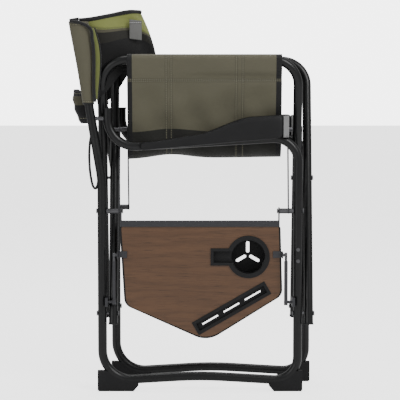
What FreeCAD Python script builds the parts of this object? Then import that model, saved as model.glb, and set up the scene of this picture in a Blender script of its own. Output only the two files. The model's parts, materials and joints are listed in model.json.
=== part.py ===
import FreeCAD, Part
import math
import os

# Folding camp chair with a hang-down side table, modelled in its folded state.
# X runs left-right, with the sitter's right side and the table at -X. The chair faces -Y. Millimetres.

# ---- driving dimensions ----
TUBE_D = 22.0            # outside diameter of every frame tube
FOLD_GAP = 130.0         # spacing of the two side frame planes when folded
LEG_SPAN = 478.0         # rear leg to front leg of one side frame
PLANE_GAP = 5.0          # free gap between neighbouring tube planes
BASE_Z = 24.0            # tube centre height at the corner feet
ARCH_RISE = 14.0         # how much the base rail rises at its middle
PIVOT_Z = 192.0          # lower pivot of each seat frame
CROSS_S = 335.0          # lower pivot to cross pivot along a seat frame leg
RAIL_S = 630.0           # lower pivot to seat rail along a seat frame leg
STRAP_Z = 443.0          # strap and table pivot height on the side frame
STRAP_S = 457.0          # strap pivot along the seat frame leg
PIN_D = 7.0              # rivets and pivot pins
FIT = 0.06               # radial clearance of a pin in its hole
GAP = 0.6                # free gap between parts that pass each other
UPRIGHT_KINK_Z = 520.0
UPRIGHT_TOP_Z = 905.0
UPRIGHT_LEAN = 65.0      # how far the upright's top lies behind the rear leg
ARM_REAR_Z = 598.0
ARM_FRONT_Z = 621.0
ARM_INSET = 15.0         # the arm tube's rear end stands this far before the rear leg
ARM_TOP_Z = 690.0        # upper end of the arm tube beside the upright
SPLIT_Z = 335.0          # where the arm tube's front leg meets the base tube
BOARD_T = 12.0
BOARD_DROP = 292.0       # hinge edge to bottom tip of the table board
BOARD_CLEAR = 34.0       # leg face to the table board's hinge edge end
CUP_R = 52.0             # outer radius of the cup holder's rim
CUP_WELL_R = 41.0
CUP_DEPTH = 58.0
RAIL_BEND_R = 62.0       # centre-line radius of the seat frame's top corners
BACK_HALF = 30.5         # half width of the folded back cloth
CUP_INSET = 76.0         # cup holder centre from the board's front edge
TRAY_INSET = 117.0       # phone tray centre from the board's front edge
STRAP_T = 3.0
CLOTH_T = 3.0
FOOT_HALF = 10.0         # half width of the plastic corner shoes
STAY_OUT = 19.0          # how far outside the side frame plane the table stays run
STAY_FOOT_Z = 222.0      # lower pivot height of the table stays

TUBE_R = TUBE_D / 2
PIN_R = PIN_D / 2
PLANE_X = FOLD_GAP / 2
REAR_Y = LEG_SPAN / 2
PLANE_STEP = TUBE_D + PLANE_GAP    # forward offset of the left side frame and seat frame A
BOARD_HALF = REAR_Y - TUBE_R - BOARD_CLEAR
# leg face to link strap, at the rear leg and at the front leg
STRAP_GAPS = {"right": (PLANE_STEP + 2.5, 11.0), "left": (20.0, 1.0)}
UPRIGHT_TOP_Y = REAR_Y + UPRIGHT_LEAN
ARM_REAR_Y = REAR_Y - ARM_INSET
SEAT_REAR_Y = REAR_Y - PLANE_STEP - RAIL_BEND_R - 4.0
SEAT_FRONT_Y = -REAR_Y + RAIL_BEND_R + 3.0
FOLD_ANGLE = math.asin(FOLD_GAP / (2 * CROSS_S))
HOLE_R = PIN_R + FIT

NODES = {}


def vec(x, y, z):
    return FreeCAD.Vector(x, y, z)


def rounded_path(points, radii):
    """Straight runs joined by tangent arcs: one radius for each inner point."""
    edges = []
    last = points[0]
    for i, radius in enumerate(radii, start=1):
        corner = points[i]
        back = (points[i - 1] - corner).normalize()
        ahead = (points[i + 1] - corner).normalize()
        half = back.getAngle(ahead) / 2
        reach = radius / math.tan(half)
        start = corner + back * reach
        end = corner + ahead * reach
        bisector = (back + ahead).normalize()
        middle = corner + bisector * (radius / math.sin(half) - radius)
        edges.append(Part.LineSegment(last, start).toShape())
        edges.append(Part.Arc(start, middle, end).toShape())
        last = end
    edges.append(Part.LineSegment(last, points[-1]).toShape())
    return Part.Wire(edges)


def tube_along(points, radii, radius=TUBE_R):
    """A round bar along a rounded path."""
    path = rounded_path(points, radii)
    direction = points[1] - points[0]
    ring = Part.Wire([Part.makeCircle(radius, points[0], direction)])
    return path.makePipeShell([ring], True, False)


def pin_y(x, z, y0, y1, radius=PIN_R):
    """A cylinder along Y from y0 to y1."""
    low, high = min(y0, y1), max(y0, y1)
    return Part.makeCylinder(radius, high - low, vec(x, low, z), vec(0, 1, 0))


def box_between(low, high):
    return Part.makeBox(high[0] - low[0], high[1] - low[1], high[2] - low[2], vec(*low))


def prism_x(outline, x0, x1):
    """A solid whose (y, z) outline is carried along X."""
    points = [vec(x0, y, z) for y, z in outline]
    face = Part.Face(Part.makePolygon(points + [points[0]]))
    return face.extrude(vec(x1 - x0, 0, 0))


def add(name, *solids):
    NODES[name] = solids[0] if len(solids) == 1 else Part.Compound(list(solids))


def leg_point(foot_x, s):
    """The point at length s up a seat frame leg whose lower pivot is at foot_x."""
    lean = -math.copysign(1, foot_x)
    return foot_x + lean * s * math.sin(FOLD_ANGLE), PIVOT_Z + s * math.cos(FOLD_ANGLE)


def side_frame(side, x, shift):
    """One side: base tube with the upright, arm tube, pad, feet, plugs and rivets."""
    rear = REAR_Y - shift
    front = -REAR_Y - shift
    top_y = UPRIGHT_TOP_Y - shift
    base_points = [
        vec(x, top_y, UPRIGHT_TOP_Z),
        vec(x, rear, UPRIGHT_KINK_Z),
        vec(x, rear, BASE_Z),
        vec(x, (rear + front) / 2, BASE_Z + ARCH_RISE),
        vec(x, front, BASE_Z),
        vec(x, front, SPLIT_Z),
    ]
    base = tube_along(base_points, [260, 72, 900, 56])
    arm_points = [
        vec(x, front, SPLIT_Z),
        vec(x, front, ARM_FRONT_Z + 2),
        vec(x, ARM_REAR_Y - shift, ARM_REAR_Z - 1),
        vec(x, ARM_REAR_Y - shift, ARM_TOP_Z),
    ]
    arm = tube_along(arm_points, [58, 66])
    # holes for the cross pins of the seat frame foot and for the strap pins
    for y in (rear, front):
        for z in (PIVOT_Z, STRAP_Z):
            drill = pin_y(x, z, y - TUBE_R - 5, y + TUBE_R + 5, HOLE_R)
            base = base.cut(drill)
            arm = arm.cut(drill)
    add(side + "_base_tube", base)
    add(side + "_arm_tube", arm)
    arm_pad(side, x, shift)
    corner_feet(side, x, rear, front)
    # joint sleeve rivets, one pair on the front leg and one between arm tube and upright
    rise = (ARM_TOP_Z - 22 - UPRIGHT_KINK_Z) / (UPRIGHT_TOP_Z - UPRIGHT_KINK_Z)
    upright_y = rear + (top_y - rear) * rise
    rivet_z = ARM_TOP_Z - 22
    spacer = pin_y(x, rivet_z, ARM_REAR_Y - shift, upright_y, PIN_R + 1.5)
    add(side + "_arm_spacer", spacer.cut(base).cut(arm))
    heads = []
    for z in (SPLIT_Z - 14, SPLIT_Z + 14):
        out = -TUBE_R if x < 0 else TUBE_R
        start = vec(x + out - math.copysign(1.2, out), front, z)
        head = Part.makeCylinder(4.5, 3.0, start, vec(out, 0, 0))
        heads.append(head.cut(base).cut(arm))
    add(side + "_leg_rivets", *heads)
    lean = vec(0, top_y - rear, UPRIGHT_TOP_Z - UPRIGHT_KINK_Z).normalize()
    cap = Part.makeCylinder(TUBE_R + 1, 5, vec(x, top_y, UPRIGHT_TOP_Z), lean)
    end_cap = Part.makeCylinder(TUBE_R + 0.8, 4, vec(x, ARM_REAR_Y - shift, ARM_TOP_Z), vec(0, 0, 1))
    add(side + "_upright_cap", cap)
    add(side + "_arm_cap", end_cap)


def arm_pad(side, x, shift):
    """A moulded pad that sits over the arm tube and leaves room inside for the seat rail."""
    outer = -26.0 if x < 0 else 26.0
    inner = -math.copysign(14.5, outer)

    def z_tube(y):
        return ARM_REAR_Z + (ARM_FRONT_Z - ARM_REAR_Z) * (ARM_REAR_Y - y) / (ARM_REAR_Y + REAR_Y)

    y_rear, y_front = REAR_Y - 91.0, -REAR_Y + 39.0
    outline = [
        (y_rear - shift, z_tube(y_rear) - 9),
        (y_rear - shift, z_tube(y_rear) + 14),
        (10 - shift, z_tube(10) + 22),
        (-120 - shift, z_tube(-120) + 50),
        (-140 - shift, z_tube(-140) + 54),
        (y_front - shift, z_tube(y_front) + 53),
        (y_front - 6 - shift, z_tube(y_front) + 10),
        (y_front + 2 - shift, z_tube(y_front) - 9),
    ]
    pad = prism_x(outline, x + outer, x + inner)
    pad = pad.cut(NODES[side + "_arm_tube"])
    add(side + "_armrest_pad", max(pad.Solids, key=lambda s: s.Volume))


def corner_feet(side, x, rear, front):
    """Plastic corner shoes that fill the outer corner under each bend of the base tube."""
    base = NODES[side + "_base_tube"]
    for y, turn, reach, name in ((rear, 1, 84, "rear"), (front, -1, 66, "front")):
        edge = y + turn * (TUBE_R + 1)
        outline = [
            (edge - turn * 3, 0),
            (edge, 4),
            (edge, 50),
            (y - turn * TUBE_R, 50),
            (y - turn * reach, BASE_Z + 8),
            (y - turn * (reach + 4), BASE_Z - 10),
            (y - turn * (reach - 8), 0),
        ]
        shoe = prism_x(outline, x - FOOT_HALF, x + FOOT_HALF)
        shoe = shoe.cut(base)
        add(side + "_foot_" + name, max(shoe.Solids, key=lambda s: s.Volume))


def seat_frame(letter, foot_x, shift):
    """An inverted U of tube: two legs and the rail that holds the seat sling."""
    rear = REAR_Y - shift
    front = -REAR_Y - shift
    low_x, low_z = leg_point(foot_x, -24.0)
    top_x, top_z = leg_point(foot_x, RAIL_S)
    points = [vec(low_x, rear, low_z), vec(top_x, rear, top_z)]
    points += [vec(top_x, front, top_z), vec(low_x, front, low_z)]
    frame = tube_along(points, [RAIL_BEND_R, RAIL_BEND_R])
    cross_x, cross_z = leg_point(foot_x, CROSS_S)
    strap_x, strap_z = leg_point(foot_x, STRAP_S)
    for y in (rear, front):
        for hole_x, hole_z in ((foot_x, PIVOT_Z), (cross_x, cross_z), (strap_x, strap_z)):
            frame = frame.cut(pin_y(hole_x, hole_z, y - TUBE_R - 5, y + TUBE_R + 5, HOLE_R))
    node = "seat_frame_" + letter
    add(node + "_tube", frame)
    axis = vec(top_x - low_x, 0, top_z - low_z).normalize()
    ends = [vec(low_x, y, low_z) - axis * 4 for y in (rear, front)]
    plugs = [Part.makeCylinder(TUBE_R + 0.8, 4, end, axis) for end in ends]
    add(node + "_end_plugs", *plugs)


def pivot_pins(name, x, z, shift_a, shift_b):
    """Pins with heads along Y through a tube pair, at the rear and at the front."""
    pins = []
    for y in (REAR_Y, -REAR_Y):
        low = y - max(shift_a, shift_b) - TUBE_R - 0.4
        high = y - min(shift_a, shift_b) + TUBE_R + 0.4
        shank = pin_y(x, z, low, high)
        head_low = pin_y(x, z, low - 2.5, low, PIN_R + 2.5)
        head_high = pin_y(x, z, high, high + 2.5, PIN_R + 2.5)
        pins.append(shank.fuse([head_low, head_high]).removeSplitter())
    add(name, *pins)


def strap_set(side, x, shift):
    """Two flat link straps of one side, with their upper rivets and the lower pins on the side frame."""
    top_x, top_z = leg_point(-x, STRAP_S)
    length = math.hypot(top_x - x, top_z - STRAP_Z)
    angle = math.degrees(math.atan2(top_x - x, top_z - STRAP_Z))
    pins, rivets = [], []
    rear_gap, front_gap = STRAP_GAPS[side]
    for end, y, gap in (("rear", REAR_Y - shift, rear_gap), ("front", -REAR_Y - shift, front_gap)):
        inward = -1 if end == "rear" else 1
        face = y + inward * (TUBE_R + gap)
        low, high = sorted((face, face + inward * STRAP_T))
        bar = box_between((x - 7, low, STRAP_Z), (x + 7, high, STRAP_Z + length))
        for z in (STRAP_Z, STRAP_Z + length):
            bar = bar.fuse(pin_y(x, z, low, high, 7.0))
        bar = bar.removeSplitter().cut(pin_y(x, STRAP_Z, low - 1, high + 1, HOLE_R))
        rivet = pin_y(x, STRAP_Z + length, high if inward < 0 else low, y + inward * (TUBE_R + GAP), 5.0)
        head = pin_y(x, STRAP_Z + length, face + inward * STRAP_T, face + inward * (STRAP_T + 2.5), 5.5)
        for shape in (bar, rivet, head):
            shape.rotate(vec(x, 0, STRAP_Z), vec(0, 1, 0), angle)
        add(side + "_link_strap_" + end, bar)
        rivets += [rivet, head]
        outside = y - inward * (TUBE_R + 0.4)
        shank = pin_y(x, STRAP_Z, outside, face + inward * (STRAP_T + GAP))
        head_out = pin_y(x, STRAP_Z, outside, outside - inward * 2.5, PIN_R + 2.5)
        collar = pin_y(x, STRAP_Z, y + inward * (TUBE_R + 0.4), face - inward * 0.4, PIN_R + 3.0)
        pieces = [shank, head_out]
        if gap > 2:
            pieces.append(collar)
        pins.append(pieces[0].fuse(pieces[1:]).removeSplitter())
    add(side + "_strap_rivets", *rivets)
    add(side + "_strap_pins", *pins)


def table_outline(grow=0.0):
    """The five-sided board hanging from its hinge edge, as a face in the plane of the side frame."""
    top = STRAP_Z - 38.0
    points = [
        vec(0, BOARD_HALF + grow, top),
        vec(0, -BOARD_HALF - grow, top),
        vec(0, -BOARD_HALF - 5 - grow, top - 168),
        vec(0, -18, STRAP_Z - 26.0 - BOARD_DROP - grow),
        vec(0, BOARD_HALF - 12 + grow, top - 192),
    ]
    start = (points[0] + points[1]) * 0.5
    loop = [start] + points[1:] + [points[0], start]
    wire = rounded_path(loop, [4, 26, 62, 26, 4])
    return Part.Face(Part.Wire(wire.Edges))


def side_table():
    x = -PLANE_X
    board = table_outline()
    board.translate(vec(x - BOARD_T / 2, 0, 0))
    board = board.extrude(vec(BOARD_T, 0, 0))
    trim = table_outline(2.4)
    trim.translate(vec(x - BOARD_T / 2 - 0.6, 0, 0))
    trim = trim.extrude(vec(BOARD_T + 1.2, 0, 0)).cut(board)
    top = STRAP_Z - 38.0
    trim = trim.cut(box_between((x - 30, -260, top - 0.01), (x + 30, 260, top + 30)))
    trim_inner = table_outline(-2.0)
    trim_inner.translate(vec(x - BOARD_T, 0, 0))
    trim = trim.cut(trim_inner.extrude(vec(2 * BOARD_T, 0, 0)))
    # cup holder
    cup_y, cup_z = CUP_INSET - BOARD_HALF, STRAP_Z - 112.0
    well = Part.makeCylinder(CUP_WELL_R + 3, 80, vec(x - 20, cup_y, cup_z), vec(1, 0, 0))
    notch = box_between((x - 20, cup_y + 30, cup_z - 17), (x + 20, cup_y + 88, cup_z + 17))
    board = board.cut(well.fuse(notch))
    face_x = x - BOARD_T / 2
    rim = Part.makeCylinder(CUP_R, 3, vec(face_x - 3, cup_y, cup_z), vec(1, 0, 0))
    wall = Part.makeCylinder(CUP_WELL_R + 2.6, CUP_DEPTH, vec(face_x - 1, cup_y, cup_z), vec(1, 0, 0))
    bore = Part.makeCylinder(CUP_WELL_R, CUP_DEPTH - 1, vec(face_x - 3, cup_y, cup_z), vec(1, 0, 0))
    lip = box_between((face_x - 3, cup_y + 30, cup_z - 21), (face_x, cup_y + 92, cup_z + 21))
    handle = box_between((face_x - 4, cup_y + 20, cup_z - 14), (face_x + 11, cup_y + 85, cup_z + 14))
    liner = box_between((face_x - 1, cup_y + 30, cup_z - 16.5), (face_x + 13, cup_y + 87.5, cup_z + 16.5))
    cup = rim.fuse([wall, lip, liner]).cut(bore).cut(handle)
    for turn in (90, 210, 330):
        slot_y = cup_y + 19 * math.cos(math.radians(turn))
        slot_z = cup_z + 19 * math.sin(math.radians(turn))
        cut = box_between((x, slot_y - 10, slot_z - 4), (x + 80, slot_y + 10, slot_z + 4))
        for end in (-10, 10):
            cut = cut.fuse(Part.makeCylinder(4, 80, vec(x, slot_y + end, slot_z), vec(1, 0, 0)))
        cut.rotate(vec(x, slot_y, slot_z), vec(1, 0, 0), turn)
        cup = cup.cut(cut)
    add("table_cup_holder", cup.removeSplitter())
    # slanted slot for a phone or tablet
    length, width = 196.0, 27.0
    mid_y, mid_z = TRAY_INSET - BOARD_HALF, STRAP_Z - 26.0 - 212.0
    tilt = -30.0

    def slab(long, wide, x0, x1):
        low = (x0, mid_y - long / 2, mid_z - wide / 2)
        high = (x1, mid_y + long / 2, mid_z + wide / 2)
        piece = box_between(low, high)
        piece.rotate(vec(0, mid_y, mid_z), vec(1, 0, 0), tilt)
        return piece

    board = board.cut(slab(length + 0.2, width + 0.2, x - 20, x + 20))
    tray = slab(length, width, face_x, face_x + BOARD_T).fuse(slab(length + 8, width + 8, face_x - 2, face_x))
    tray = tray.cut(slab(length - 6, width - 8, face_x - 3, face_x + 9))
    for step in (-60, 0, 60):
        hole = box_between((x - 20, mid_y + step - 22, mid_z - 2), (x + 20, mid_y + step + 22, mid_z + 2))
        hole.rotate(vec(0, mid_y, mid_z), vec(1, 0, 0), tilt)
        tray = tray.cut(hole)
    add("table_phone_tray", tray.removeSplitter())
    add("table_board", board)
    add("table_edge_trim", max(trim.Solids, key=lambda s: s.Volume))
    rail = box_between((x - 9, -BOARD_HALF, top + 0.0), (x + 9, BOARD_HALF, top + 14))
    add("table_hinge_rail", rail)
    for name, y in (("rear", BOARD_HALF - 3), ("front", -BOARD_HALF)):
        ear = box_between((x - 9, y, top + 14), (x + 9, y + 3, STRAP_Z))
        ear = ear.fuse(pin_y(x, STRAP_Z, y, y + 3, 9)).removeSplitter()
        add("table_ear_" + name, ear.cut(pin_y(x, STRAP_Z, y - 1, y + 4, HOLE_R)))


def table_pivots():
    """Pins that carry the table ears, on from the strap pins of the right side frame."""
    x = -PLANE_X
    outer, inner = BOARD_HALF + 0.4, BOARD_HALF - 4
    spots = {"rear": (outer, inner), "front": (-outer, -inner)}
    pins = []
    for name, (outer, inner) in spots.items():
        inward = -1 if name == "rear" else 1
        gap = STRAP_GAPS["right"][0 if name == "rear" else 1]
        reach = -inward * (REAR_Y - TUBE_R - gap - STRAP_T - GAP)
        shank = pin_y(x, STRAP_Z, reach, inner)
        collar = pin_y(x, STRAP_Z, reach, outer, PIN_R + 3.0)
        head = pin_y(x, STRAP_Z, inner, inner + inward * 2.5, PIN_R + 2.5)
        pins.append(shank.fuse([collar, head]).removeSplitter())
    add("table_pivot_pins", *pins)


def stays():
    """Telescopic stays from brackets on the legs to lugs on the table's outer face."""
    x = -PLANE_X - STAY_OUT
    low_z, high_z = STAY_FOOT_Z, STRAP_Z - 106.0
    tubes, rods, rivets, brackets, lugs = [], [], [], [], []
    for sign in (1, -1):
        y = sign * (BOARD_HALF + 15)
        tube = Part.makeCylinder(4.6, high_z - low_z - 22, vec(x, y, low_z + 7), vec(0, 0, 1))
        eye = pin_y(x, low_z, y - 4.4, y + 4.4, 8.1)
        tube = tube.fuse(eye).removeSplitter().cut(pin_y(x, low_z, y - 5, y + 5, HOLE_R))
        tubes.append(tube.cut(Part.makeCylinder(3.36, high_z - low_z, vec(x, y, low_z + 8.6), vec(0, 0, 1))))
        rod = Part.makeCylinder(3.3, high_z - low_z - 14, vec(x, y, low_z + 9), vec(0, 0, 1))
        top = pin_y(x, high_z, y - 3, y + 3, 6.0)
        rods.append(rod.fuse(top).removeSplitter())
        lug_face = sign * (BOARD_HALF + 7.9)
        rivets.append(pin_y(x, high_z, y - sign * 3, lug_face + sign * GAP, 4.0))
        face = -PLANE_X - BOARD_T / 2 - 0.7
        ear_low, ear_high = sorted((lug_face, lug_face - sign * 2.5))
        ear = box_between((x - 7, ear_low, high_z - 8), (face, ear_high, high_z + 8))
        pad_low, pad_high = sorted((lug_face, sign * (BOARD_HALF - 16)))
        pad = box_between((face - 2, pad_low, high_z - 8), (face, pad_high, high_z + 8))
        lugs.append(ear.fuse(pad).removeSplitter())
        leg_face = sign * (REAR_Y - TUBE_R)
        inner = leg_face - sign * 4
        low, high = sorted((inner, leg_face + sign * 3))
        plate = box_between((x - 9, low, low_z - 11), (-PLANE_X + 5, high, low_z + 11))
        plate = plate.cut(NODES["right_base_tube"]).fuse(pin_y(x, low_z, inner, y - sign * 4))
        brackets.append(max(plate.removeSplitter().Solids, key=lambda s: s.Volume))
    add("stay_tubes", *tubes)
    add("stay_rods", *rods)
    add("stay_rivets", *rivets)
    add("stay_brackets", *brackets)
    add("table_stay_lugs", *lugs)


def loop_profile(half_top, half_low, top_z, taper_z, low_z, y):
    """The outline of a hanging loop of cloth: straight sides and a half-round bottom."""
    points = [vec(-half_top, y, top_z), vec(-half_low, y, taper_z), vec(-half_low, y, low_z + half_low)]
    mirror = [vec(-p.x, p.y, p.z) for p in reversed(points)]
    edges = [Part.LineSegment(points[i], points[i + 1]).toShape() for i in range(2)]
    edges.append(Part.Arc(points[2], vec(0, y, low_z), mirror[0]).toShape())
    edges += [Part.LineSegment(mirror[i], mirror[i + 1]).toShape() for i in range(2)]
    edges.append(Part.LineSegment(mirror[2], points[0]).toShape())
    return Part.Face(Part.Wire(edges))


def behind_leg(outline):
    """An outline whose y values count from the right side frame's rear leg."""
    return [(REAR_Y + y, z) for y, z in outline]


def soft_parts():
    """Plain closed solids for the seat sling, the folded backrest, its pocket, tag and webbing."""
    rail_x, rail_z = leg_point(PLANE_X, RAIL_S)
    hang_top = rail_z - TUBE_R - 1.0
    bottom = hang_top - 226.0
    half, taper_z = abs(rail_x) - 2, hang_top - 110
    outer = loop_profile(half, 44, hang_top, taper_z, bottom, SEAT_FRONT_Y)
    half -= CLOTH_T
    inner = loop_profile(half, 44 - CLOTH_T, hang_top + 1, taper_z, bottom + CLOTH_T, SEAT_FRONT_Y)
    run = vec(0, SEAT_REAR_Y - SEAT_FRONT_Y, 0)
    add("seat_sling", outer.extrude(run).cut(inner.extrude(run)))
    back = [(46, 928), (-89, 933), (-121, 905), (-135, 838), (-49, 800), (19, 718), (33, 720), (65, 900)]
    add("backrest_cloth", prism_x(behind_leg(back), -BACK_HALF, BACK_HALF))
    pocket = [(57, 742), (73, 738), (51, 650), (23, 655), (35, 715)]
    add("rear_pocket", prism_x(behind_leg(pocket), -BACK_HALF, BACK_HALF))
    tag = [(-93, 905), (-67, 905), (-71, 858), (-97, 858)]
    add("back_tag", prism_x(behind_leg(tag), -BACK_HALF - 4.5, -BACK_HALF - 0.5))
    x = -PLANE_X
    web = tube_along([vec(x, y, z) for y, z in behind_leg([(35, 635), (32, 500), (17, 478)])], [12], 3.0)
    add("rear_webbing", web)


def build():
    side_frame("right", -PLANE_X, 0.0)
    side_frame("left", PLANE_X, PLANE_STEP)
    seat_frame("a", -PLANE_X, PLANE_STEP)
    seat_frame("b", PLANE_X, 0.0)
    pivot_pins("right_foot_pins", -PLANE_X, PIVOT_Z, 0.0, PLANE_STEP)
    pivot_pins("left_foot_pins", PLANE_X, PIVOT_Z, 0.0, PLANE_STEP)
    pivot_pins("cross_pins", *leg_point(PLANE_X, CROSS_S), 0.0, PLANE_STEP)
    strap_set("right", -PLANE_X, 0.0)
    strap_set("left", PLANE_X, PLANE_STEP)
    side_table()
    table_pivots()
    stays()
    soft_parts()


build()
whole = Part.Compound([shape for shape in NODES.values()])
box = whole.optimalBoundingBox(True, False)
ORIGIN = vec(-box.Center.x, -box.Center.y, -box.ZMin)
os.makedirs("parts", exist_ok=True)
for node, shape in NODES.items():
    shape.translate(ORIGIN)
    shape.exportStep("parts/" + node + ".step")
    print(node, len(shape.Solids), shape.isValid(), round(shape.Volume / 1000, 2))
print("size", box.XLength, box.YLength, box.ZLength, "origin shift", ORIGIN)
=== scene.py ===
import json
import math

import bmesh
import bpy
import numpy as np
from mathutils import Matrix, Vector


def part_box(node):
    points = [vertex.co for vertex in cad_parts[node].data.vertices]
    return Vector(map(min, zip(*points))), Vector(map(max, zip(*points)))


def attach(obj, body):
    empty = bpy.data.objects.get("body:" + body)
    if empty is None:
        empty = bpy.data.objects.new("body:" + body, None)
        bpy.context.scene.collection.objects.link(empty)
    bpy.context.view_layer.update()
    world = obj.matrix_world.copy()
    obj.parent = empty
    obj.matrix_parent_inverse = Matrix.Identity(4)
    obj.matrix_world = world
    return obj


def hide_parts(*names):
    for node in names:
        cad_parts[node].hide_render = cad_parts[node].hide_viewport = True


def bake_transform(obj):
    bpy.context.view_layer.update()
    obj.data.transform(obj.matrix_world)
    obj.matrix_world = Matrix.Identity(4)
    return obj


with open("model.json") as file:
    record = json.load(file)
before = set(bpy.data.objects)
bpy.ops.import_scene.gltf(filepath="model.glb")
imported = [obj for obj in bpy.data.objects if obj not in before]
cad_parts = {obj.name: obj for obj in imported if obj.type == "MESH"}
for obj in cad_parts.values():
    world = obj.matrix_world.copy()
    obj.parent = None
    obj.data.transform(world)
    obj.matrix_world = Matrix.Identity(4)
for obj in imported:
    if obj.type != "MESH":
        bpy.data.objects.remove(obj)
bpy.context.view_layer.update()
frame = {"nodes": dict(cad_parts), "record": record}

TAU = 2 * math.pi

# ---- places taken from the frame, in metres ----
RAIL_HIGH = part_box("seat_frame_a_tube")[1]
RIGHT_LOW, RIGHT_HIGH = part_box("right_base_tube")
LEFT_LOW, LEFT_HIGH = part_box("left_base_tube")
SLING_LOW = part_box("seat_sling")[0]
TUBE_R = 0.011
LEG_SPAN = 0.478
RIGHT_X = (RIGHT_LOW[0] + RIGHT_HIGH[0]) / 2
LEFT_X = (LEFT_LOW[0] + LEFT_HIGH[0]) / 2
MID_X = (RIGHT_X + LEFT_X) / 2
FRONT_LEG_Y = RIGHT_LOW[1] + TUBE_R
REAR_LEG_Y = FRONT_LEG_Y + LEG_SPAN
PLANE_STEP = RIGHT_LOW[1] - LEFT_LOW[1]
FRAME_Y = (REAR_LEG_Y + FRONT_LEG_Y) / 2
RAIL_Z = RAIL_HIGH[2] - TUBE_R
RAIL_OUT = 0.0572        # from the middle of the stack out to each seat rail

# ---- cloth sizes, in metres ----
THREAD = 0.0016          # one over-and-under of the weave
STITCH = 0.0045
CANVAS_T = 0.0016
THIN_CLOTH_T = 0.0012
GUSSET_T = 0.0014
SLEEVE_SLACK = 0.0022    # between a seat rail and the sling's sleeve round it
KINK_Z = 0.520           # where an upright starts to lean back
LEAN = (0.304 - 0.239) / (0.905 - KINK_Z)
SLEEVE_LOW_Z, SLEEVE_TOP_Z = 0.702, 0.902
SLEEVE_R = 0.0135
SLEEVE_FLARE = 0.020     # how much wider the sleeve is at its top, all of it forward

# ---- camera place ----
LENS = 137.0
CAMERA_AWAY = 3.70
CAMERA_Z = 0.731
CAMERA_PITCH = 4.04


# ---- camera ----
def place_camera():
    """A long lens far off the chair's right side, level with the seat back, looking a little down."""
    data = bpy.data.cameras.new("camera")
    data.lens = LENS
    data.sensor_width = 36.0
    cam = bpy.data.objects.new("camera", data)
    bpy.context.scene.collection.objects.link(cam)
    cam.location = (RIGHT_X - CAMERA_AWAY, FRAME_Y, CAMERA_Z)
    cam.rotation_euler = (math.radians(90 - CAMERA_PITCH), 0, math.radians(-90))
    bpy.context.scene.camera = cam


place_camera()


# ---- shader expressions ----
class Value:
    """A socket in a node tree; arithmetic on it adds Math nodes."""

    def __init__(self, paint, socket):
        self.paint, self.socket = paint, socket

    def math(self, operation, *others):
        inputs = {i: v for i, v in enumerate((self,) + others)}
        return self.paint.node("ShaderNodeMath", {"operation": operation}, inputs)

    def __add__(self, other):
        return self.math("ADD", other)

    def __radd__(self, other):
        return self.math("ADD", other)

    def __sub__(self, other):
        return self.math("SUBTRACT", other)

    def __rsub__(self, other):
        return self.paint.node("ShaderNodeMath", {"operation": "SUBTRACT"}, {0: other, 1: self})

    def __mul__(self, other):
        return self.math("MULTIPLY", other)

    def __rmul__(self, other):
        return self.math("MULTIPLY", other)

    def sin(self):
        return self.math("SINE")

    def abs(self):
        return self.math("ABSOLUTE")

    def power(self, n):
        return self.math("POWER", n)

    def below(self, n):
        return self.math("LESS_THAN", n)

    def above(self, n):
        return self.math("GREATER_THAN", n)

    def band(self, centre, half):
        """One within half of centre, zero elsewhere."""
        return (self - centre).abs().below(half)


class Paint:
    """One material with its Principled shader."""

    def __init__(self, name, **constants):
        self.material = bpy.data.materials.new(name)
        self.material.use_nodes = True
        self.tree = self.material.node_tree
        self.shader = self.tree.nodes["Principled BSDF"]
        for key, value in constants.items():
            self.shader.inputs[key.replace("_", " ")].default_value = value

    def node(self, kind, settings=None, inputs=None, out=0):
        made = self.tree.nodes.new(kind)
        for key, value in (settings or {}).items():
            if key == "stops":
                ramp = made.color_ramp
                while len(ramp.elements) < len(value):
                    ramp.elements.new(0.5)
                for element, (place, colour) in zip(ramp.elements, value):
                    element.position = place
                    element.color = (*colour, 1)
            else:
                setattr(made, key, value)
        for key, value in (inputs or {}).items():
            self.feed(made.inputs[key], value)
        return Value(self, made.outputs[out])

    def feed(self, socket, value):
        if isinstance(value, Value):
            self.tree.links.new(value.socket, socket)
        elif isinstance(value, tuple) and len(value) == 3 and socket.type == "RGBA":
            socket.default_value = (*value, 1)
        else:
            socket.default_value = value

    def place(self, kind="Object"):
        return self.node("ShaderNodeTexCoord", None, None, kind)

    def parts(self, vector):
        split = self.node("ShaderNodeSeparateXYZ", None, {0: vector}).socket.node
        return [Value(self, split.outputs[i]) for i in range(3)]

    def scaled(self, vector, x, y, z):
        return self.node("ShaderNodeMapping", None, {"Vector": vector, "Scale": (x, y, z)})

    def noise(self, vector, scale, detail=3.0):
        return self.node("ShaderNodeTexNoise", None, {"Vector": vector, "Scale": scale, "Detail": detail})

    def mix(self, factor, a, b):
        settings = {"data_type": "RGBA", "clamp_factor": True}
        return self.node("ShaderNodeMix", settings, {0: factor, 6: a, 7: b}, 2)

    def finish(self, colour=None, roughness=None, height=None, depth=0.0005):
        if colour is not None:
            self.feed(self.shader.inputs["Base Color"], colour)
        if roughness is not None:
            self.feed(self.shader.inputs["Roughness"], roughness)
        if height is not None:
            bump = self.node("ShaderNodeBump", None, {"Height": height, "Distance": depth, "Strength": 0.8})
            self.feed(self.shader.inputs["Normal"], bump)
        return self.material


def powder_coat():
    """Satin black paint with a faint orange peel and lighter rubbed patches."""
    paint = Paint("satin black powder coat", Specular_IOR_Level=0.35, Coat_Weight=0.12, Coat_Roughness=0.2)
    where = paint.place()
    peel = paint.noise(where, 900.0)
    rub = paint.noise(where, 14.0, 5.0)
    colour = paint.mix(rub.above(0.62) * 0.35, (0.004, 0.0042, 0.0045), (0.010, 0.010, 0.0105))
    return paint.finish(colour, rub * 0.12 + 0.27, peel, 0.00015)


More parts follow.
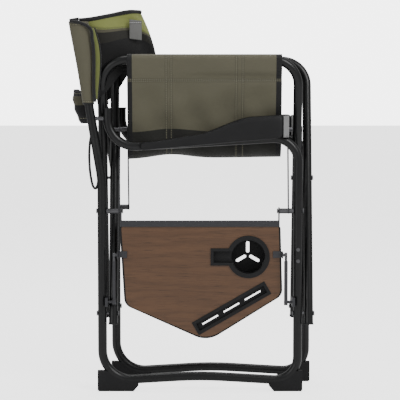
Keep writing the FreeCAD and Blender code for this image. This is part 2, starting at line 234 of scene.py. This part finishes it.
def moulded_plastic(name, tone):
    """Matt moulded plastic with a fine spark grain."""
    paint = Paint(name, Specular_IOR_Level=0.3)
    where = paint.place()
    grain = paint.noise(where, 1400.0, 2.0)
    cloud = paint.noise(where, 25.0)
    lighter = tuple(c * 1.6 + 0.004 for c in tone)
    return paint.finish(paint.mix(cloud, tone, lighter), grain * 0.15 + 0.45, grain, 0.0003)


def satin_steel(name, tone, rough):
    """Plated steel with fine drawn lines."""
    paint = Paint(name, Metallic=1.0)
    where = paint.scaled(paint.place(), 900.0, 60.0, 900.0)
    lines = paint.noise(where, 1.0)
    lighter = tuple(min(1.0, c * 1.5) for c in tone)
    return paint.finish(paint.mix(lines, tone, lighter), lines * 0.2 + rough, lines, 0.0001)


def walnut_laminate():
    """Printed walnut: long wavy grain along the board's width, pores and darker bands."""
    paint = Paint("walnut laminate", Coat_Weight=0.15, Coat_Roughness=0.35)
    where = paint.place()
    wave = paint.noise(paint.scaled(where, 3.0, 1.2, 9.0), 2.0, 4.0)
    split = paint.parts(where)
    rings = ((split[2] * 260.0 + wave * 26.0 + paint.noise(where, 30.0) * 2.0).sin() * 0.5 + 0.5).power(1.4)
    fibre = paint.noise(paint.scaled(where, 60.0, 9.0, 420.0), 1.6, 6.0)
    pores = paint.noise(paint.scaled(where, 60.0, 22.0, 900.0), 1.0, 2.0).above(0.62)
    broad = paint.noise(paint.scaled(where, 2.0, 3.5, 26.0), 1.5, 3.0)
    base = paint.mix(broad, (0.050, 0.020, 0.0075), (0.125, 0.058, 0.024))
    banded = paint.mix(rings * 0.45, base, (0.036, 0.015, 0.006))
    lit = paint.mix(fibre * 0.6, banded, (0.16, 0.080, 0.036))
    colour = paint.mix(pores * 0.5, lit, (0.016, 0.008, 0.004))
    return paint.finish(colour, fibre * 0.18 + 0.36, fibre, 0.00015)


def cloth(name, tone, shade, seams=(), bands=(), stitch=(0.19, 0.18, 0.12), wrinkle=0.5):
    """Plain-weave polyester on the piece's own UV in metres: u runs along Y, v down the cloth.
    seams are (axis, place) lines of stitches, each with painted shade darkening its groove; bands are (axis,
    low, high, colour) strips of another cloth or of painted shade."""
    paint = Paint(name, Sheen_Weight=0.25, Sheen_Roughness=0.4)
    uv = paint.place("UV")
    u, v = paint.parts(uv)[:2]
    warp = (u * (TAU / THREAD)).sin()
    weft = (v * (TAU / THREAD)).sin()
    weave = warp * weft * 0.5 + 0.5
    cloud = paint.noise(uv, 9.0, 5.0)
    slub = paint.noise(paint.scaled(uv, 30.0, 900.0, 1.0), 1.0, 2.0)
    colour = paint.mix(cloud * wrinkle + slub * 0.25, tone, shade)
    colour = paint.mix(weave * 0.22, colour, tuple(c * 0.45 for c in tone))
    height = weave * 0.5
    for axis, low, high, strip in bands:
        along = (u, v)[axis]
        inside = along.band((low + high) / 2, (high - low) / 2)
        dark = paint.mix(weave * 0.4, strip, tuple(c * 0.5 for c in strip))
        colour = paint.mix(inside, colour, dark)
        height = height + inside * 0.6
    for axis, at in seams:
        across = (u, v)[axis]
        along = (v, u)[axis]
        dash = (along * (TAU / STITCH)).sin().above(-0.35)
        line = across.band(at, 0.0009) * dash
        groove = across.band(at, 0.0035)
        # painted shade: the cloth is darkened along each seam's groove, where shade would fall
        groove_painted_shade = paint.mix(groove * 0.25, colour, tuple(c * 0.3 for c in tone))
        colour = paint.mix(line * 0.85, groove_painted_shade, stitch)
        height = height - groove * 1.2 + line * 1.5
    return paint.finish(colour, weave * 0.08 + 0.8, height, 0.0006)


KHAKI, KHAKI_SHADE = (0.088, 0.082, 0.052), (0.135, 0.126, 0.083)
GREEN, GREEN_SHADE = (0.20, 0.225, 0.055), (0.30, 0.33, 0.10)
BLACK, BLACK_SHADE = (0.006, 0.006, 0.0065), (0.014, 0.014, 0.015)

finishes = {
    "frame_paint": powder_coat(),
    "black_plastic": moulded_plastic("black moulded plastic", (0.004, 0.004, 0.0045)),
    "rivet_steel": satin_steel("blackened rivet steel", (0.10, 0.10, 0.105), 0.3),
    "dark_steel": satin_steel("dark sheet steel", (0.06, 0.06, 0.064), 0.34),
    "walnut": walnut_laminate(),
}
webbing_finish = cloth("black webbing", BLACK, BLACK_SHADE, stitch=(0.05, 0.05, 0.05))
end_grey = moulded_plastic("pale grey end plug", (0.22, 0.22, 0.22))

for entry in frame["record"]["subparts"]:
    if entry["material_slot"] in finishes:
        mesh = frame["nodes"][entry["node"]].data
        mesh.materials.clear()
        mesh.materials.append(finishes[entry["material_slot"]])


# ---- meshes ----
def smooth(t):
    """The curve 3t^2 - 2t^3, flat at both ends."""
    t = np.clip(t, 0, 1)
    return t * t * (3 - 2 * t)


def grid_piece(name, points, uv, material, thickness=0.0, wrap=False, caps=False):
    """A mesh from an (m, n, 3) array of points.
    wrap joins the last column to the first; caps close both ends."""
    rows, cols = points.shape[:2]
    index = np.arange(rows * cols).reshape(rows, cols)
    if wrap:
        index = np.concatenate([index, index[:, :1]], axis=1)
    quads = np.stack([index[:-1, :-1], index[:-1, 1:], index[1:, 1:], index[1:, :-1]], axis=-1).reshape(-1, 4)
    faces = quads.tolist()
    if caps:
        faces.append(list(range(cols))[::-1])
        faces.append(list(range((rows - 1) * cols, rows * cols)))
    mesh = bpy.data.meshes.new(name)
    mesh.from_pydata(points.reshape(-1, 3).tolist(), [], faces)
    layer = mesh.uv_layers.new(name="UVMap")
    corner = np.zeros(len(mesh.loops), dtype=np.int32)
    mesh.loops.foreach_get("vertex_index", corner)
    layer.data.foreach_set("uv", uv.reshape(-1, 2)[corner].astype(np.float32).ravel())
    mesh.polygons.foreach_set("use_smooth", [True] * len(mesh.polygons))
    mesh.materials.append(material)
    piece = bpy.data.objects.new(name, mesh)
    bpy.context.scene.collection.objects.link(piece)
    if thickness:
        solid = piece.modifiers.new("cloth thickness", "SOLIDIFY")
        solid.thickness = thickness
        solid.offset = 0.0
        bpy.context.view_layer.update()
        made = bpy.data.meshes.new_from_object(piece.evaluated_get(bpy.context.evaluated_depsgraph_get()))
        piece.modifiers.clear()
        piece.data = made
    turn_outwards(piece)
    return piece


def turn_outwards(piece):
    """Recalculates the normals of a closed piece so that they point out."""
    work = bmesh.new()
    work.from_mesh(piece.data)
    bmesh.ops.recalc_face_normals(work, faces=work.faces)
    work.to_mesh(piece.data)
    work.free()


def tube_points(path, radius, sides=14, squash=1.0):
    """A round or flattened section carried along a path of points, square to the path."""
    path = np.asarray(path, float)
    ahead = np.gradient(path, axis=0)
    ahead /= np.linalg.norm(ahead, axis=1)[:, None]
    side = np.cross(ahead, (1.0, 0.0, 0.0))
    side /= np.linalg.norm(side, axis=1)[:, None]
    across = np.cross(ahead, side)
    angle = np.linspace(0, TAU, sides, endpoint=False)
    ring = np.cos(angle)[None, :, None] * side[:, None] * radius * squash
    ring = ring + np.sin(angle)[None, :, None] * across[:, None] * radius
    return path[:, None] + ring


def curve_through(points, count):
    """A smooth curve through given points: Catmull-Rom, evenly sampled in its own parameter."""
    p = np.asarray(points, float)
    p = np.vstack([2 * p[0] - p[1], p, 2 * p[-1] - p[-2]])
    t = np.linspace(0, len(points) - 1 - 1e-9, count)
    i = t.astype(int)
    f = (t - i)[:, None]
    a, b, c, d = p[i], p[i + 1], p[i + 2], p[i + 3]
    cubic = (3 * b - a - 3 * c + d) * f ** 3
    return 0.5 * (2 * b + (c - a) * f + (2 * a - 5 * b + 4 * c - d) * f ** 2 + cubic)


def tube_uv(rows, cols, length, girth):
    """A flat grid of UV in metres: length along the rows, girth round the columns."""
    u, v = np.meshgrid(np.linspace(0, length, rows), np.linspace(0, girth, cols), indexing="ij")
    return np.stack([u, v], axis=-1)


# ---- seat sling ----
def seat_sling():
    """The seat cloth: a sleeve round each raised rail and one deep loop between them.
    The section runs from the near rail's sleeve down, round the bottom and up to the far rail."""
    sleeve = TUBE_R + SLEEVE_SLACK
    top = RAIL_Z
    low = SLING_LOW[2] + 0.001
    half_low = 0.040
    drop = np.linspace(0, 1, 46)[1:]
    wall_x = -RAIL_OUT - sleeve + (RAIL_OUT + sleeve - half_low) * smooth(drop)
    wall_z = top + (low + half_low - top) * drop
    bottom = np.linspace(0, 0.5 * math.pi, 14)[1:]
    round_x = -half_low * np.cos(bottom)
    round_z = low + half_low - half_low * np.sin(bottom)
    loop = np.linspace(math.pi * 1.35, 0.0, 24)
    near = np.stack([-RAIL_OUT - sleeve * np.cos(loop), top + sleeve * np.sin(loop)], axis=1)
    half = np.vstack([near, np.stack([wall_x, wall_z], axis=1), np.stack([round_x, round_z], axis=1)])
    section = np.vstack([half, (half * (-1, 1))[-2::-1]])
    length = np.concatenate([[0], np.cumsum(np.linalg.norm(np.diff(section, axis=0), axis=1))])
    y = np.linspace(FRAME_Y - 0.199, FRAME_Y + 0.177, 120)
    grid_y, grid_x = np.meshgrid(y, section[:, 0], indexing="ij")
    grid_z = np.broadcast_to(section[:, 1], grid_y.shape).copy()
    depth = np.clip((top - 0.02 - grid_z) / (top - low), 0, 1)
    along = (grid_y - y[0]) / (y[-1] - y[0])
    side = np.sign(grid_x)
    fold = 0.0045 * np.sin(26 * along + 7 * depth + 0.8 * side) * smooth(depth * 1.6)
    fold += 0.0030 * np.sin(9 * along - 16 * depth + 1.4) * smooth(depth * 3) * (1 - 0.5 * depth)
    pleat = -0.009 * np.exp(-((grid_z - (top - 0.042)) / 0.009) ** 2) * (0.5 + 0.5 * np.sin(5 * along + 0.6))
    inward = (fold + pleat) * smooth(np.abs(grid_x) / 0.02)
    grid_x = grid_x + side * inward
    sag = 0.010 * np.exp(-((along - 0.72) / 0.16) ** 2) - 0.006 * along
    grid_z = grid_z + sag * smooth(depth * 1.1)
    points = np.stack([grid_x + MID_X, grid_y, grid_z], axis=-1)
    uv = np.stack([grid_y, np.broadcast_to(length, grid_y.shape)], axis=-1)
    hem = float(length[24]) + 0.043
    end = float(length[-1])
    stitch_lines = [(1, hem), (1, hem + 0.004), (1, end - hem), (1, end - hem - 0.004)]
    stitch_lines += [(0, FRAME_Y + s) for s in (0.082, 0.070, -0.088, -0.104)]
    # painted shade: the near-black band round the bottom of the loop stands for the sling lying in shadow below
    # the armrests; the black bands at both ends along Y are black cloth
    ends = [(1, end / 2 - 0.088, end / 2 + 0.088, (0.014, 0.014, 0.011))]
    ends += [(0, y[0] - 0.01, y[0] + 0.014, BLACK), (0, y[-1] - 0.012, y[-1] + 0.01, BLACK)]
    finish = cloth("khaki seat canvas", KHAKI, KHAKI_SHADE, stitch_lines, ends, wrinkle=0.6)
    piece = grid_piece("seat_sling_cloth", points, uv, finish, CANVAS_T)
    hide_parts("seat_sling")
    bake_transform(piece)


# ---- backrest ----
def upright_y(z, step=0.0):
    """Centre line of an upright above its kink, by height."""
    return REAR_LEG_Y - step + LEAN * np.maximum(z - KINK_Z, 0)


def back_half(side):
    """Half of the folded back cloth: from one upright's sleeve forward to the middle fold.
    s runs from the upright to the fold, t from the lower edge up to the binding."""
    step = 0.0 if side < 0 else PLANE_STEP
    s, t = np.meshgrid(np.linspace(0, 1, 70), np.linspace(0, 1, 60), indexing="ij")
    low_edge = 0.712 + 0.104 * smooth(s * 1.7) - 0.006 * s
    top_edge = 0.908 + 0.022 * smooth(s * 1.4)
    z = low_edge + (top_edge - low_edge) * t
    rear = upright_y(z, step) - 0.012
    front = FRAME_Y + 0.108 + 0.040 * t ** 1.5
    travel = np.sin(s * math.pi / 2) ** 1.15
    y = rear + (front - rear) * travel
    x = 0.055 * (1 - smooth((s - 0.05) * 1.0)) ** 0.75
    x = x * (0.62 + 0.38 * (1 - s)) + 0.004 * np.sin(14 * s + 5 * t) * np.sin(math.pi * s)
    x = np.where(s > 0.999, 0.0, np.clip(x, 0.0, 0.055))
    points = np.stack([MID_X + side * x, y, z], axis=-1)
    uv = np.stack([s * 0.25, (1 - t) * 0.22 + 0.104 * (1 - s) ** 1.15], axis=-1)
    return points, uv


def backrest():
    """Both halves of the back cloth, each with the black binding along its top edge."""
    lines = [(1, 0.0145), (1, 0.112)]
    strips = [
        (1, 0.116, 0.126, KHAKI),
        # painted shade: the dark khaki strip and the near-black strip below it stand for the back of the cloth
        # lying in shadow; the khaki strip above them is real trim
        (1, 0.126, 0.160, (0.016, 0.015, 0.011)),
        (1, 0.160, 0.400, (0.003, 0.003, 0.003)),
    ]
    finish = cloth("olive green back cloth", GREEN, GREEN_SHADE, lines, strips, stitch=(0.06, 0.06, 0.05))
    halves = ((-1, "right", "right_side", "seat_frame_a"), (1, "left", "left_side", "seat_frame_b"))
    for side, name, body, other in halves:
        points, uv = back_half(side)
        piece = grid_piece(f"back_cloth_{name}", points, uv, finish, CANVAS_T)
        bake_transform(piece)
        edge = points[:, -1] + (side * 0.0008, 0, -0.002)
        tape = grid_piece(
            f"back_binding_{name}", tube_points(edge, 0.0052, 14), tube_uv(len(edge), 14, 0.25, 0.03),
            webbing_finish, wrap=True, caps=True,
        )
        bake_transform(tape)
    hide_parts("backrest_cloth")


def sleeve_front(z):
    """Front edge of the near sleeve by height."""
    return upright_y(z) - SLEEVE_R - SLEEVE_FLARE * smooth((z - 0.70) / 0.16)


def upright_sleeve(side):
    """The cloth sleeve over an upright: a little loose, wider forward at its top, black at its foot."""
    name, step, x = ("right", 0.0, RIGHT_X) if side < 0 else ("left", PLANE_STEP, LEFT_X)
    z = np.linspace(SLEEVE_LOW_Z, SLEEVE_TOP_Z, 60)
    path = np.stack([np.full_like(z, x), upright_y(z, step), z], axis=1)
    angle = np.linspace(0, TAU, 28, endpoint=False)
    loose = SLEEVE_R + 0.0012 * np.sin(30 * z)[:, None] * np.sin(angle + 1)[None]
    flare = 0.5 * SLEEVE_FLARE * smooth((z - 0.70) / 0.16)[:, None]
    across = loose * np.sin(angle) + flare * (np.sin(angle)[None] - 1)
    points = path[:, None] + np.stack([loose * np.cos(angle), across, np.zeros_like(loose)], axis=-1)
    uv = np.stack(np.broadcast_arrays(angle[None] * 0.013, z[:, None]), axis=-1)
    seams, hem = [(1, 0.709), (1, 0.894)], [(1, 0.690, 0.706, BLACK)]
    finish = cloth(f"{name} sleeve canvas", KHAKI, KHAKI_SHADE, seams, hem)
    piece = grid_piece(
        f"{name}_upright_sleeve", points, uv, finish, THIN_CLOTH_T, wrap=True,
    )
    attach(piece, f"{name}_side")


def side_gusset():
    """The narrow green gusset beside the near sleeve, with the black binding and piping along both."""
    s, t = np.meshgrid(np.linspace(0, 1, 60), np.linspace(0, 1, 14), indexing="ij")
    z = 0.886 - 0.172 * s
    rear = sleeve_front(z) - 0.004
    width = 0.0025 + 0.0115 * np.sin(math.pi * np.clip(s * 0.86 + 0.10, 0, 1)) ** 0.7
    y = rear - width * t
    x = RIGHT_X - 0.004 + 0.006 * t - 0.003 * np.sin(math.pi * t)
    points = np.stack([x, y, z], axis=-1)
    uv = np.stack([t * 0.03, 0.03 + s * 0.085], axis=-1)
    # painted shade: the gusset is the back's green cloth darkened to about two thirds, for the shadow it lies
    # in
    tone, shade = (0.13, 0.15, 0.035), (0.20, 0.225, 0.065)
    finish = cloth("green gusset cloth in painted shade", tone, shade, [(0, 0.003)], stitch=(0.05, 0.05, 0.04))
    piece = grid_piece("back_gusset", points, uv, finish, GUSSET_T)
    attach(piece, "right_side")
    over_top = [(0.011, 0.903), (-0.012, 0.899), (-0.031, 0.890), (-0.038, 0.878)]
    heights = (0.862, 0.84, 0.80, 0.76, 0.73, 0.708)
    down = [(float(sleeve_front(z) - upright_y(z)) - 0.003, z) for z in heights]
    route = [(RIGHT_X - SLEEVE_R, float(upright_y(z)) + y, z) for y, z in over_top + down]
    rims = {
        "sleeve_binding": (curve_through(route, 120), 0.0040),
        "gusset_piping": (points[:, -1] + (0, 0, 0.001), 0.0024),
    }
    for name, (rim, radius) in rims.items():
        cord = tube_points(rim, radius, 12)
        pipe = grid_piece(
            f"back_{name}", cord, tube_uv(len(rim), 12, 0.2, 0.02),
            webbing_finish, wrap=True, caps=True,
        )
        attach(pipe, "right_side")


def webbing_loop():
    """Flat webbing that hangs in a slack loop behind the rear leg."""
    route = [
        (0.254, 0.640), (0.264, 0.628), (0.269, 0.590), (0.268, 0.545),
        (0.262, 0.508), (0.2545, 0.498), (0.249, 0.508), (0.247, 0.526),
    ]
    path = curve_through([(RIGHT_X, FRAME_Y + y, z) for y, z in route], 90)
    ribbon = tube_points(path, 0.0055, 16, squash=0.55)
    length = float(np.linalg.norm(np.diff(path, axis=0), axis=1).sum())
    piece = grid_piece(
        "slack_webbing", ribbon, tube_uv(90, 16, length, 0.04),
        webbing_finish, wrap=True, caps=True,
    )
    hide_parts("rear_webbing")
    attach(piece, "right_side")


def rear_pocket():
    """A soft organiser pocket behind the back: a rounded bag that bulges away from the uprights."""
    t = np.linspace(0, 1, 40)
    angle = np.linspace(0, TAU, 48, endpoint=False)
    z = 0.655 + 0.084 * t
    centre_y = upright_y(z) + 0.022 + 0.006 * t
    full = np.sin(math.pi * np.clip(t * 0.9 + 0.08, 0, 1)) ** 0.4
    power = 0.55
    cx = np.sign(np.cos(angle)) * np.abs(np.cos(angle)) ** power
    cy = np.sign(np.sin(angle)) * np.abs(np.sin(angle)) ** power
    x = MID_X + cx[None] * 0.040 * full[:, None]
    y = centre_y[:, None] + cy[None] * 0.016 * full[:, None] + 0.001 * np.sin(20 * t)[:, None]
    points = np.stack([x, y, np.broadcast_to(z[:, None], x.shape)], axis=-1)
    uv = np.stack(np.broadcast_arrays(angle[None] * 0.03, z[:, None]), axis=-1)
    finish = cloth("pocket cloth", BLACK, BLACK_SHADE, [(1, 0.668), (1, 0.728)], [(1, 0.70, 0.722, KHAKI)])
    piece = grid_piece("back_pocket", points, uv, finish, wrap=True, caps=True)
    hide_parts("rear_pocket")
    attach(piece, "right_side")


def blank_label():
    """A woven label with nothing on it, sewn near the front fold."""
    low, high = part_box("back_tag")
    s, t = np.meshgrid(np.linspace(0, 1, 16), np.linspace(0, 1, 24), indexing="ij")
    y = low[1] + (high[1] - low[1]) * s
    z = low[2] + (high[2] - low[2]) * t + 0.004 * s
    x = low[0] + 0.001 - 0.0015 * np.sin(math.pi * s) * np.sin(math.pi * t)
    points = np.stack([x, y, z], axis=-1)
    uv = np.stack([y, z], axis=-1)
    seam = (1, float(high[2]) - 0.004)
    finish = cloth("grey woven label", (0.13, 0.13, 0.125), (0.20, 0.20, 0.19), [seam], stitch=(0.5, 0.5, 0.5))
    piece = grid_piece("blank_label", points, uv, finish, THIN_CLOTH_T)
    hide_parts("back_tag")
    rear = float(upright_y(0.71))
    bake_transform(piece)


# ---- armrest pads ----
def arm_pad(side):
    """A moulded pad: a rounded-box section carried along the arm, thin at the rear and deep at the front."""
    name = "right" if side < 0 else "left"
    low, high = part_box(f"{name}_armrest_pad")
    t = np.linspace(0, 1, 90)
    y = high[1] - (high[1] - low[1]) * t
    tube_z = 0.598 + 0.023 * t
    bottom = tube_z - 0.008 + 0.008 * t
    top = tube_z + 0.013 + 0.014 * smooth(t * 1.7) + 0.030 * smooth((t - 0.40) / 0.38)
    ease = np.minimum(1.0, np.sqrt(np.clip(1 - (np.abs(2 * t - 1)) ** 40, 0, 1)) * 0.96 + 0.04)
    centre = (bottom + top) / 2
    deep = (top - bottom) / 2 * ease
    wide = (high[0] - low[0]) / 2 * ease
    angle = np.linspace(0, TAU, 40, endpoint=False)
    cx = np.sign(np.cos(angle)) * np.abs(np.cos(angle)) ** 0.42
    cz = np.sign(np.sin(angle)) * np.abs(np.sin(angle)) ** 0.5
    x = (low[0] + high[0]) / 2 + cx[None] * wide[:, None]
    z = centre[:, None] + cz[None] * deep[:, None]
    points = np.stack([x, np.broadcast_to(y[:, None], x.shape), z], axis=-1)
    piece = grid_piece(
        f"{name}_arm_pad", points, tube_uv(90, 40, 0.35, 0.16),
        finishes["black_plastic"], wrap=True, caps=True,
    )
    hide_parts(f"{name}_armrest_pad")
    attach(piece, f"{name}_side")
    # pale ribbed end plug let into the front of the pad
    rows = np.linspace(0, 1, 30)
    rib = 0.0006 * np.sin(rows * TAU * 6)
    end_y = low[1] + 0.004 - 0.013 * rows
    x = (low[0] + high[0]) / 2 + cx[None] * (wide.max() * 0.93 + rib)[:, None]
    z = centre[-4] + cz[None] * (deep.max() * 0.90 + rib)[:, None]
    points = np.stack([x, np.broadcast_to(end_y[:, None], x.shape), z], axis=-1)
    plug = grid_piece(
        f"{name}_arm_pad_end", points, tube_uv(30, 40, 0.01, 0.16),
        end_grey, wrap=True, caps=True,
    )
    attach(plug, f"{name}_side")


seat_sling()
backrest()
for hand in (-1, 1):
    upright_sleeve(hand)
    arm_pad(hand)
side_gusset()
webbing_loop()
rear_pocket()
blank_label()


# ---- floor and light ----
def stage():
    """A pale floor, a white surround that is brighter to the camera than to the chair, and three soft lamps."""
    mesh = bpy.data.meshes.new("floor")
    size = 30.0
    corners = [(-size, -size, 0), (size, -size, 0), (size, size, 0), (-size, size, 0)]
    mesh.from_pydata(corners, [], [(0, 1, 2, 3)])
    floor = bpy.data.objects.new("floor", mesh)
    bpy.context.scene.collection.objects.link(floor)
    paint = Paint("pale studio floor", Roughness=0.9)
    paint.feed(paint.shader.inputs["Emission Color"], (1.0, 1.0, 1.0))
    seen = paint.node("ShaderNodeLightPath")
    paint.feed(paint.shader.inputs["Emission Strength"], seen * 2.2)
    mesh.materials.append(paint.finish((0.86, 0.86, 0.86)))
    world = bpy.data.worlds.new("studio")
    bpy.context.scene.world = world
    world.use_nodes = True
    nodes, links = world.node_tree.nodes, world.node_tree.links
    path = nodes.new("ShaderNodeLightPath")
    glow = nodes.new("ShaderNodeMapRange")
    glow.inputs["To Min"].default_value = 0.5
    glow.inputs["To Max"].default_value = 5.0
    links.new(path.outputs["Is Camera Ray"], glow.inputs["Value"])
    nodes["Background"].inputs[0].default_value = (1.0, 1.0, 1.0, 1)
    links.new(glow.outputs[0], nodes["Background"].inputs[1])
    for name, place, size, power in (
        ("key", (-2.6, -2.2, 2.8), 1.8, 80),
        ("fill", (-2.8, 2.6, 1.6), 2.2, 28),
        ("top", (0.6, 0.0, 3.4), 2.0, 50),
    ):
        data = bpy.data.lights.new(name, "AREA")
        data.size = size
        data.energy = power
        lamp = bpy.data.objects.new(name, data)
        lamp.location = place
        aim = np.array((0.0, 0.0, 0.5)) - np.array(place)
        lamp.rotation_euler = Vector(aim).to_track_quat("-Z", "Y").to_euler()
        bpy.context.scene.collection.objects.link(lamp)


stage()
